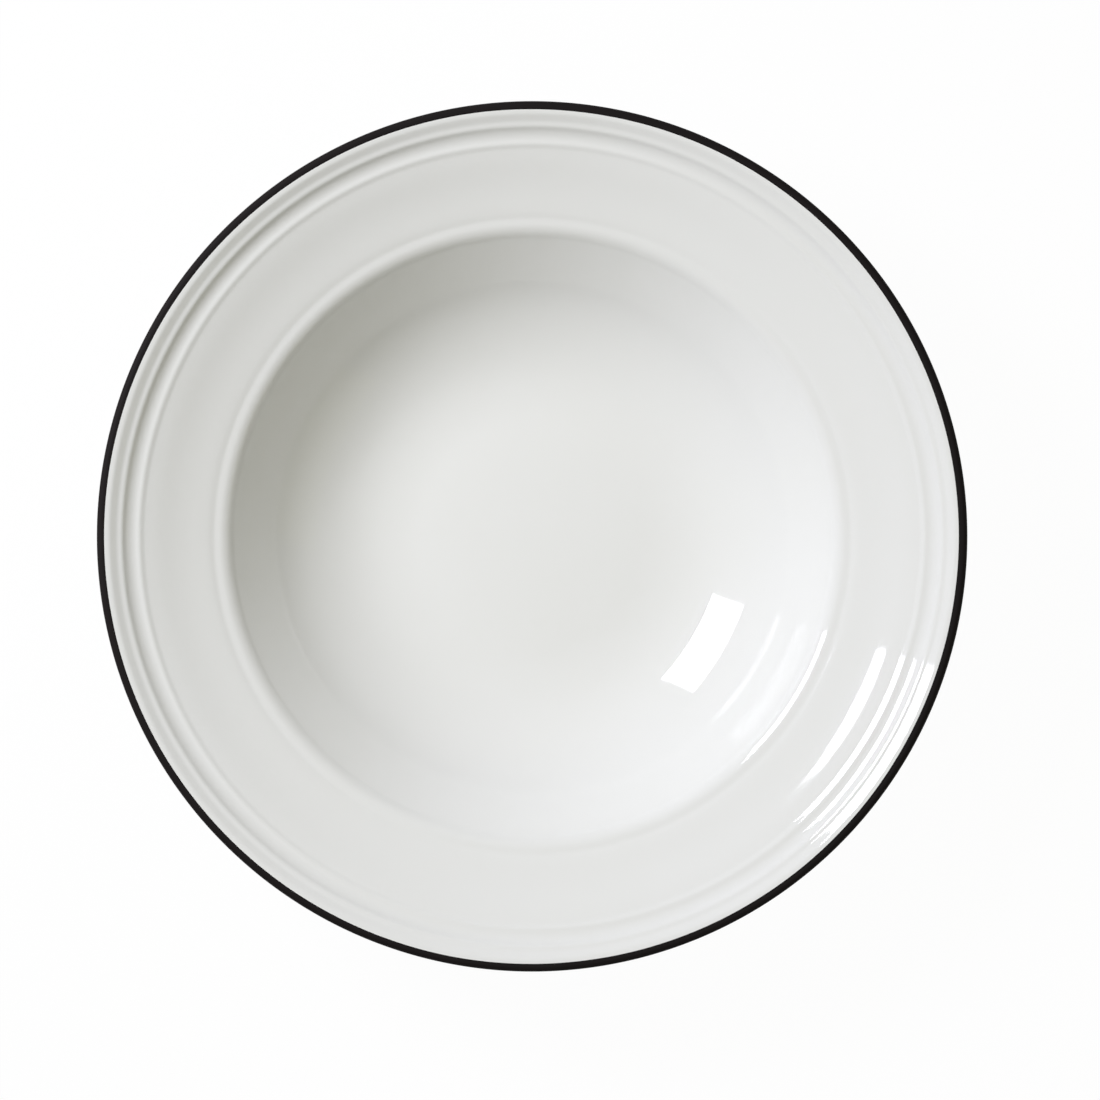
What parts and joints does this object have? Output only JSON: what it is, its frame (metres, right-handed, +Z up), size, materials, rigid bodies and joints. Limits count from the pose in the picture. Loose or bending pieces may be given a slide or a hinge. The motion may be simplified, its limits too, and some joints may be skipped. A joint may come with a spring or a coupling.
{
  "type": "pasta plate",
  "caption": "Deep round pasta plate with a wide stepped rim, a rounded lip with a black line and a foot ring, in glazed white hotelware.",
  "frame": {"origin": "centre of the foot ring's underside, on the surface that the plate stands on", "axes": "+Z up along the plate's axis of revolution; +X and +Y in the plane of the foot ring"},
  "size_m": [0.3, 0.3, 0.0582],
  "materials": {
    "fired_clay": "bare fired clay, ground smooth, matt",
    "white_glaze": "clear gloss glaze over white clay, very slightly warm",
    "black_band": "black ceramic colour fired on to the lip, soft gloss"
  },
  "bodies": {
    "root": {"clay_body": "fired_clay", "face_glaze": "white_glaze", "back_glaze": "white_glaze", "foot_recess_glaze": "white_glaze", "edge_band": "black_band"}
  },
  "joints": []
}
